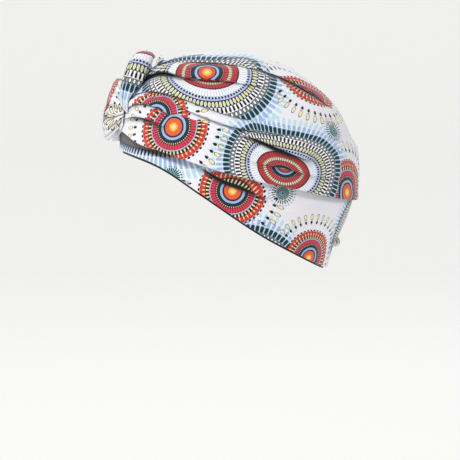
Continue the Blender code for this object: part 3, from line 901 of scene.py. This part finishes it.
def crown_wrap(material):
    along = np.linspace(0, 180, CAP_COLUMNS)
    (rise, lift, smooth, hidden, shade), creases = cap_section(along)
    stations = np.broadcast_to(along, rise.shape)
    base = on_head(from_pole(stations, rise))
    normal = outward(base)
    height = above_edge(stations, rise)
    lift = np.where(lift < 0, lift * ramp(BROW_TUCK * 0.5, BROW_TUCK * 2, height), lift)
    fade = np.sin(np.radians(stations)) ** 0.5
    ahead = unit(np.gradient(base, axis=1))
    way_up = unit(np.gradient(base, axis=0))
    crumple = wrinkles(base, 60.0, ahead) * CRUMPLE + wrinkles(base + 0.3, 150.0, ahead) * FINE_CRUMPLE
    seat = cap_seat(height)
    lip = LIP_LIFT * np.exp(-((height / LIP_WIDTH) ** 2)) * ramp(18, 45, stations)
    outside = seat + CAP_WALL + (lift + crumple * ramp(0, 0.01, height)) * fade + lip
    outer = base + normal * outside[..., None]
    inner = base + normal * (seat + smooth * fade)[..., None]
    picks = np.unique(np.linspace(0, len(rise) - 1, INSIDE_ROWS).astype(int))
    grid, source, places, lengths = walled(outer, inner, base, way_up, picks)
    item = skin("pleated_cap", grid, False, material)

    layers = []
    for decal in DECALS:
        row = decal.row
        if row.cloth == "band":
            continue
        if row.strip:
            centre = creases[row.strip] + (len(FOLDS) // 2 + 1 if row.strip != "hem" else 0)
        else:
            centre = np.abs(rise[:, np.abs(along - row.along).argmin()] - row.rise).argmin()
        moved = way_up[source] * (hidden[source] - hidden[centre])[..., None]
        allowed = np.ones(source.shape, bool)
        if row.floor:
            allowed &= source >= creases[row.floor]
        if row.roof:
            allowed &= source <= creases[row.roof] + 1
        allowed = np.broadcast_to(allowed[:, None], source.shape + along.shape)
        layers.append((row.kind, decal.places(places.reshape(-1, 3), moved.reshape(-1, 3)), allowed.ravel()))
    dress(item, layers, lengths.reshape(-1, 2), shade[source].ravel(), turned_in(grid, outer))
    weld(item)
    return item


def band_folds(way):
    """The brow band's creases at each point: the shift up, the lift, the cloth hidden and the shade."""
    along, rise = pole_angles(way)
    orders = np.linspace(-FOLD_REACH, FOLD_REACH, len(FOLDS))
    ups, outs, hiddens, darks = zip(*FOLDS)
    total = np.zeros((4,) + along.shape)
    for pleat in BROW_FOLDS:
        up = np.radians(rise - curve(BROW_STATIONS, pleat.path, along)) * round_the_head(along)
        lift, hidden, dark, formed = pleat_sizes(pleat, along)
        formed = ramp(0.0, 0.35, formed) * (np.abs(up) < FOLD_REACH)
        total[0] += (np.interp(up, orders, ups) - up) * formed
        above = np.maximum(up - FOLD_REACH, 0) / RIDGE_WIDTH
        below = np.maximum(-FOLD_REACH - up, 0) / GROOVE_WIDTH
        out = np.interp(up, orders, outs) * np.exp(-(above**2) - below**2)
        total[1] += out * lift * PLEAT_LIFT
        total[2] += np.interp(up, orders, hiddens) * hidden
        # Painted shade in the crease and the groove just below it.
        dark = np.interp(up, orders, darks) * dark
        total[3] += dark * np.exp(-((below / SHADE_REACH) ** 2))
    return total


def band(name, lower, upper, rows, inside, wall, material, wavy=0.0):
    """A closed band round the head between two edges, each a table and how far above it the band ends."""
    around = np.arange(BAND_COLUMNS) * 2 * math.pi / BAND_COLUMNS
    bottom = edge_tilt(around, lower[0], lower[1], inside + wall)
    top = edge_tilt(around, upper[0], upper[1], inside + wall)
    way = [turn_to(around, bottom + (top - bottom) * share) for share in np.linspace(0, 1, rows)]
    base = on_head(np.array(way))
    normal = outward(base)
    way_up = unit(np.gradient(base, axis=0))
    ahead = unit(np.roll(base, -1, axis=1) - base)
    swell = np.abs(wrinkles(base, 45.0, ahead)) * wavy
    shift, lift, hidden, shade = band_folds(np.array(way)) * (1.0 if wavy else 0.0)
    outer = base + normal * (inside + wall + swell + np.maximum(lift, -0.6 * wall))[..., None]
    outer += way_up * shift[..., None]
    inner = base + normal * inside
    picks = np.unique(np.linspace(0, rows - 1, 8).astype(int))
    grid, source, places, lengths = walled(outer, inner, base, way_up, picks)
    item = skin(name, grid, True, material)
    # Painted shadow: the band darkens just under the cap's lip, most at the front.
    if upper[1]:
        climbed = cloth_lengths(base)[..., 1]
        under_lip = climbed[-1] - upper[1] - climbed
        front = 0.35 + 0.65 * ramp(0.25, 0.65, np.array(way) @ POLE)
        shade = np.maximum(shade, front * np.exp(-((np.maximum(under_lip - LIP_DARK, 0) / LIP_SHADE) ** 2)))
    moved = (way_up[source] * hidden[source][..., None]).reshape(-1, 3)
    layers = []
    for decal in DECALS:
        if decal.row.cloth == "band":
            flat = places.reshape(-1, 3)
            layers.append((decal.row.kind, decal.places(flat, moved), np.ones(len(flat), bool)))
    dress(item, layers, lengths.reshape(-1, 2), shade[source].ravel(), turned_in(grid, outer))
    weld(item)
    return item


def cap_outside(points):
    """How far the cloth under the knot stands off the head at each point: the cap, or the band below it."""
    direction = unit((points - MIDDLE) / SCALE)
    along, rise = pole_angles(direction)
    rise = np.where(rise > 90, 180 - rise, rise)
    metres = round_the_head(along)
    hem = curve(PATH_STATIONS, PLEATS[0].path, along)
    above = np.radians(rise - hem) * metres
    lift = np.full_like(along, PUFF)
    for pleat in PLEATS:
        if pleat.spans:
            away = np.radians(rise - curve(PATH_STATIONS, pleat.path, along)) * metres
            away = np.where(away < 0, np.maximum(-away - FOLD_REACH, 0) * 2, away)
            lift += PLEAT_LIFT * pleat_sizes(pleat, along)[0] * np.exp(-((away / RIDGE_WIDTH) ** 2))
    over = np.sin(np.radians(along)) ** 0.5
    cap = cap_seat(above_edge(along, np.maximum(rise, hem))) + CAP_WALL + lift * over
    band_only = BAND_SEAT + BROW_WALL
    return band_only + (cap - band_only) * ramp(-0.006, -0.001, above)


def clear_of_head(points, gap):
    """Moves points that lie in or under the cap's cloth out to just above it."""
    for _ in range(3):
        slope = slopes(points) / (2 * STEP)
        steep = np.linalg.norm(slope, axis=-1)
        off = (level(points) - 1) / steep
        short = np.maximum(cap_outside(points) + gap - off, 0)
        points = points + slope / steep[..., None] * short[..., None]
    return points


def clear_of(points, other, gap):
    """Moves points that lie in another piece out to its surface."""
    tree = BVHTree.FromObject(other, bpy.context.evaluated_depsgraph_get())
    flat = points.reshape(-1, 3).copy()
    for index, point in enumerate(flat):
        place, normal, *_ = tree.find_nearest(Vector(point))
        if (Vector(point) - place).dot(normal) < gap:
            flat[index] = place + normal * gap
    return flat.reshape(points.shape)


def roll_line(table, span, thick):
    """A roll's middle line over the knot, and its direction, width, thickness and place across."""
    count = len(table) - 1
    order = np.arange(-count, count + 1, dtype=float)
    at = np.linspace(-count, count, ROLL_RINGS)
    whole = list(reversed(table)) + list(table[1:])
    across = [row.across if place > 0 else -row.across for place, row in zip(order, whole)]
    climb = np.radians(curve(order, [row.climb for row in whole], at))
    off = curve(order, [row.off for row in whole], at) * thick / 2
    sideways = curve(order, across, at)
    way = unit(np.stack([sideways * span / HEAD_BREADTH, -np.cos(climb), np.sin(climb)], axis=-1))
    centre = stand_off(way, EASE + CAP_WALL + off)
    ahead = unit(np.gradient(centre, axis=0))
    wide = curve(order, [row.wide for row in whole], at)
    return centre, ahead, wide, curve(order, [row.thick for row in whole], at), sideways


def gathers(angle, run, creases, deep, swell):
    """How a gathered roll's radius sinks at each crease and swells between them, more towards the pinch.
    A crease is where it lies round the roll, how far it turns along it and how deep it is."""
    share = np.ones(np.broadcast(angle, run).shape)
    pinch = 0.35 + 0.65 * run**2
    for crease in creases:
        away = (angle - crease.around - crease.twist * run + math.pi) % (2 * math.pi) - math.pi
        share -= deep * crease.depth * pinch * np.exp(-np.abs(away / crease.narrow) ** 1.3)
        beside = (np.abs(away) - 2.2 * crease.narrow) / crease.narrow
        share += swell * crease.depth * pinch * np.exp(-(beside**2))
    return share


def closed_roll(name, rings, material, layers, weave, shade):
    """A closed skin over rings of points. Each end is drawn in to a puckered middle."""
    ends = []
    for ring, beside in ((rings[0], rings[1]), (rings[-1], rings[-2])):
        middle = ring.mean(axis=0)
        ends.append([middle + (ring - middle) * share for share in (0.0, 0.35, 0.7)])
    grid = np.concatenate([ends[0], rings, ends[1][::-1]])
    source = np.concatenate([np.zeros(3, int), np.arange(len(rings)), np.full(3, len(rings) - 1)])
    index = np.arange(grid.shape[0] * grid.shape[1]).reshape(grid.shape[:2])
    beside = np.roll(index, -1, axis=1)
    faces = np.stack([index[:-1], beside[:-1], beside[1:], index[1:]], -1)
    item = new_item(name, grid.reshape(-1, 3).tolist(), faces.reshape(-1, 4).tolist(), material)
    flat = weave[source].reshape(-1, 2)
    spread = []
    for row in layers:
        away = (flat - np.array([row.along, row.around])) / np.array([row.wide, row.high]) * 1000
        turn = math.radians(row.turn)
        away = away @ np.array([[math.cos(turn), -math.sin(turn)], [math.sin(turn), math.cos(turn)]])
        spread.append((row.kind, away, np.ones(len(away), bool)))
    # Shade is painted shade, darkest where the gathers sink in.
    dress(item, spread, flat, shade[source].ravel(), np.zeros(len(flat)))
    weld(item)
    return item


def along_line(centre):
    """How far each point of a line lies from its middle."""
    length = np.concatenate([[0], np.linalg.norm(np.diff(centre, axis=0), axis=1).cumsum()])
    return length - length[-1] / 2


def from_outside(angle, outer_side):
    """The angle round a roll, with 0 at its outer side and the join opposite."""
    return (angle - outer_side + math.pi) % (2 * math.pi) - math.pi


def roll_weave(length, round_it):
    """Places in metres along a roll and round it."""
    return np.stack(np.broadcast_arrays(length[:, None], round_it), -1)


def arch(name, table, span, wide, thick, creases, prints, material):
    """A roll whose width lies front to back and whose thickness stands off the knot."""
    centre, ahead, half_wide, half_thick, run = roll_line(table, span, thick)
    across = unit(np.array([0.0, 1.0, 0.0]) - ahead * ahead[:, 1:2])
    out = np.cross(across, ahead)
    angle = np.arange(ROLL_SIDES) * 2 * math.pi / ROLL_SIDES
    full = gathers(angle, run[:, None], creases, ROLL_CREASE, ROLL_SWELL) * ROLL_SHRINK
    wide_way = across[:, None] * (half_wide[:, None] * wide / 2 * np.cos(angle) * full)[..., None]
    thick_way = out[:, None] * (half_thick[:, None] * thick / 2 * np.sin(angle) * full)[..., None]
    rings = clear_of_head(centre[:, None] + wide_way + thick_way, LAYER_GAP)
    weave = roll_weave(along_line(centre), from_outside(angle, -math.pi / 2) * (wide + thick) / 4)
    return closed_roll(name, rings, material, prints, weave, CREASE_SHADE * np.maximum(ROLL_SHRINK - full, 0))


def front_loop(name, creases, prints, roll, material):
    """The broad loop across the front: a leaning pillow with a full belly, gathered to both ends."""
    centre, _, half_high, half_thick, run = roll_line(KNOT_LOOP, LOOP_SPAN, LOOP_THICKNESS)
    angle = np.arange(ROLL_SIDES) * 2 * math.pi / ROLL_SIDES
    front = np.cos(angle) > 0
    square = np.sign(np.sin(angle)) * np.abs(np.sin(angle)) ** LOOP_FILL_SQUARE
    full = gathers(angle, run[:, None], creases, LOOP_CREASE, LOOP_SWELL)
    high = half_high[:, None] * LOOP_HEIGHT / 2 * np.where(front, np.sin(angle), square) * (0.8 + 0.2 * full)
    belly = (1 - LOOP_BELLY * np.sin(angle)) * full
    deep = np.where(front, LOOP_THICKNESS / 2, LOOP_FILL)
    back = -half_thick[:, None] * deep * np.cos(angle) * belly + LOOP_LEAN * high
    rings = np.stack(np.broadcast_arrays(centre[:, :1], centre[:, 1:2] + back, centre[:, 2:] + high), -1)
    rings = clear_of_head(rings, LAYER_GAP)
    rings = clear_of(rings, roll, LAYER_GAP)
    weave = roll_weave(along_line(centre), from_outside(angle, 0) * LOOP_HEIGHT / 3)
    return closed_roll(name, rings, material, prints, weave, CREASE_SHADE * np.maximum(1 - full, 0))


def nape_puff(name, prints, material):
    """The gathered puff across the back, lying on the brow band above its hem."""
    run = np.linspace(-1, 1, ROLL_RINGS)
    turn = math.pi + run * NAPE_SPAN / HEAD_BREADTH
    size = NAPE_THICKNESS / 2 * np.sqrt(1.02 - run**2)
    tilt = edge_tilt(turn, LOWER_HEM, NAPE_HEIGHT, BAND_SEAT + BROW_WALL)
    base = on_head(turn_to(turn, tilt))
    normal = outward(base)
    centre = base + normal * (BAND_SEAT + BROW_WALL)
    ahead = unit(np.gradient(centre, axis=0))
    up = np.cross(normal, ahead)
    angle = np.arange(ROLL_SIDES) * 2 * math.pi / ROLL_SIDES
    folds = np.abs(np.sin(run * NAPE_FOLDS + 0.4 * np.sin(run * NAPE_UNEVEN)))[:, None] ** 4
    pucker = 1 - NAPE_PUCKER * folds * (0.6 + 0.4 * np.cos(angle - 0.6))
    wide_way = up[:, None] * (size[:, None] * np.cos(angle) * pucker)[..., None]
    out_way = normal[:, None] * (size[:, None] * np.sin(angle) * pucker)[..., None]
    rings = clear_of_head(centre[:, None] + wide_way + out_way, LAYER_GAP)
    weave = roll_weave(run * NAPE_SPAN / 2, from_outside(angle, math.pi / 2) * NAPE_THICKNESS / 2)
    return closed_roll(name, rings, material, prints, weave, CREASE_SHADE * (1 - pucker))


KNOT_SPAN = 0.062
ROLL_WIDTH = 0.0235
ROLL_THICKNESS = 0.021
LOOP_HEIGHT = 0.053
LOOP_SPAN = 0.068
LOOP_THICKNESS = 0.0145
LOOP_FILL = 0.030
TAIL_SPAN = 0.040
TAIL_THICKNESS = 0.012
LOOP_FILL_SQUARE = 0.35
LOOP_LEAN = 0.14
LOOP_BELLY = 0.30
NAPE_SPAN = 0.050
NAPE_THICKNESS = 0.0085
NAPE_HEIGHT = 0.0225
NAPE_FOLDS = 11
NAPE_UNEVEN = 23
NAPE_PUCKER = 0.2
ROLL_CREASE = 0.16
ROLL_SWELL = 0.05
ROLL_SHRINK = 0.985
LOOP_CREASE = 0.20
LOOP_SWELL = 0.06
ROLL_RINGS = 120
ROLL_SIDES = 112
KNOT_WRAP = rows(
    Station,
    (0.00, 52.4, 0.84, 1.00, 1.00),
    (0.34, 51.2, 0.78, 1.00, 1.08),
    (0.62, 46.8, 0.65, 0.95, 1.15),
    (0.79, 40.9, 0.50, 0.84, 1.00),
    (0.90, 35.6, 0.47, 0.60, 0.72),
    (0.98, 29.9, 0.47, 0.22, 0.24),
)
KNOT_TAIL = rows(
    Station,
    (0.00, 57.1, 0.53, 1.00, 1.00),
    (0.50, 56.0, 0.36, 0.95, 0.95),
    (0.85, 53.6, 0.30, 0.75, 0.72),
    (1.00, 51.5, 0.25, 0.35, 0.35),
)
KNOT_LOOP = rows(
    Station,
    (0.00, 28.4, 1.50, 1.00, 1.00),
    (0.30, 28.5, 1.44, 0.97, 1.00),
    (0.58, 28.8, 1.22, 0.85, 0.94),
    (0.80, 29.3, 0.92, 0.62, 0.80),
    (0.94, 29.8, 0.66, 0.36, 0.56),
    (1.00, 30.0, 0.50, 0.16, 0.28),
)
Crease = namedtuple("Crease", "around twist depth narrow")
RollPrint = namedtuple("RollPrint", "kind along around turn wide high")
ROLL_CREASES = rows(
    Crease,
    (0.5, 0.3, 0.9, 0.13),
    (1.3, -0.2, 0.7, 0.10),
    (2.1, 0.25, 1.0, 0.14),
    (2.9, -0.3, 0.8, 0.11),
    (5.6, 0.2, 0.9, 0.12),
    (3.9, 0.2, 0.9, 0.12),
)
LOOP_CREASES = rows(
    Crease,
    (0.2, 0.0, 0.8, 0.10),
    (0.75, 0.05, 0.6, 0.08),
    (1.2, 0.0, 0.8, 0.09),
    (5.95, 0.0, 1.0, 0.10),
    (5.55, -0.05, 0.9, 0.09),
    (5.15, 0.0, 1.0, 0.09),
    (4.85, 0.0, 0.8, 0.08),
)
ROLL_PRINTS = (RollPrint("wheel", -0.0135, 0.0, 0, 1.0, 1.0),)
LOOP_PRINTS = rows(
    RollPrint,
    ("spray", 0.038, -0.006, 0, 1.25, 1.15),
    ("spray", -0.038, -0.006, 0, 1.25, 1.15),
    ("red", 0.0, 0.014, 0, 0.76, 0.76),
)
TAIL_PRINTS = (RollPrint("red", -0.024, 0.0, 0, 0.9, 0.9),)
NAPE_PRINTS = rows(
    RollPrint,
    ("spray", 0.010, -0.004, 0, 1.0, 1.0),
    ("spray", -0.014, 0.004, 40, 1.0, 1.0),
)

DECALS = [Decal(row) for row in PRINTS]
printed = jersey("printed_jersey", True)
black = jersey("black_jersey", False)
cap = crown_wrap(printed)
tucked = (LAPPED_EDGE, BROW_TUCK)
brow = band("brow_cloth", (LOWER_HEM, 0.0), tucked, BROW_ROWS, BAND_SEAT, BROW_WALL, printed, BROW_WAVES)
hem_low = (LOWER_HEM, -INNER_SHOWS)
hem_high = (LOWER_HEM, INNER_DEPTH - INNER_SHOWS)
lining = band("black_band", hem_low, hem_high, INNER_ROWS, 0.0, INNER_WALL, black)
roll = arch("knot_roll", KNOT_WRAP, KNOT_SPAN, ROLL_WIDTH, ROLL_THICKNESS, ROLL_CREASES, ROLL_PRINTS, printed)
tail_size = (TAIL_SPAN, TAIL_THICKNESS, TAIL_THICKNESS)
tail = arch("knot_end", KNOT_TAIL, *tail_size, ROLL_CREASES[::2], TAIL_PRINTS, printed)
loop = front_loop("knot_loop", LOOP_CREASES, LOOP_PRINTS, roll, printed)
puff = nape_puff("nape_puff", NAPE_PRINTS, printed)
pieces = (
    (cap, "crown_wrap"),
    (brow, "brow_band"),
    (lining, "inner_band"),
    (roll, "knot_wrap"),
    (tail, "knot_tail"),
    (loop, "knot_front_loop"),
    (puff, "nape_gather"),
)
for piece, node in pieces:
    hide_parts(node)
    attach(piece, "root")

# The camera stands where the photo's did: level with the ears, square to the wearer's left side.
PHOTO_WIDTH = 0.391
PHOTO_MIDDLE = Vector((0.0, 0.0017, -0.1462))
CAMERA_AT = Vector((1.5, 0.0, -0.091))
camera = bpy.data.objects.new("camera", bpy.data.cameras.new("camera"))
bpy.context.scene.collection.objects.link(camera)
camera.location = CAMERA_AT
camera.rotation_euler = (PHOTO_MIDDLE - CAMERA_AT).to_track_quat("-Z", "Y").to_euler()
camera.data.sensor_width = 36
camera.data.lens = 36 * CAMERA_AT.x / PHOTO_WIDTH
bpy.context.scene.camera = camera
bpy.context.scene.view_settings.view_transform = "Standard"


Lamp = namedtuple("Lamp", "name place power size")
LAMPS = (Lamp("key", (1.3, -1.3, 2.0), 39, 0.7), Lamp("back", (-1.6, 0.4, 1.6), 8, 1.4))
LIT = Vector((0, 0, -0.09))
for lamp in LAMPS:
    light = bpy.data.lights.new(lamp.name, "AREA")
    light.energy = lamp.power
    light.size = lamp.size
    item = bpy.data.objects.new(lamp.name, light)
    item.location = lamp.place
    item.rotation_euler = (LIT - item.location).to_track_quat("-Z", "Y").to_euler()
    bpy.context.scene.collection.objects.link(item)
world = bpy.data.worlds.new("studio")
bpy.context.scene.world = world
world.use_nodes = True
world.node_tree.nodes["Background"].inputs["Color"].default_value = (0.93, 0.93, 0.92, 1)
world.node_tree.nodes["Background"].inputs["Strength"].default_value = 0.4

# A pale bowl of a studio, so that every view meets the same plain ground.
FLOOR = -0.42
ground = bpy.data.materials.new("pale_floor")
ground.use_nodes = True
paper = ground.node_tree.nodes["Principled BSDF"]
paper.inputs["Base Color"].default_value = (0.40, 0.40, 0.39, 1)
paper.inputs["Roughness"].default_value = 0.9
paper.inputs["Emission Color"].default_value = (0.95, 0.95, 0.94, 1)
paper.inputs["Emission Strength"].default_value = 0.57
BOWL = ((0.0, 0.0), (2.0, 0.0), (3.0, 0.05), (3.6, 0.35), (3.9, 0.9), (4.0, 2.0), (4.0, 4.0))
BOWL_SIDES = 64
turns = [math.tau * step / BOWL_SIDES for step in range(BOWL_SIDES)]
points = [(r * math.cos(t), r * math.sin(t), FLOOR + z) for r, z in BOWL for t in turns]
faces = []
for low in range(0, (len(BOWL) - 1) * BOWL_SIDES, BOWL_SIDES):
    for side in range(BOWL_SIDES):
        after = (side + 1) % BOWL_SIDES
        faces.append((low + side, low + after, low + BOWL_SIDES + after, low + BOWL_SIDES + side))
floor = new_item("studio_floor", points, faces, ground)
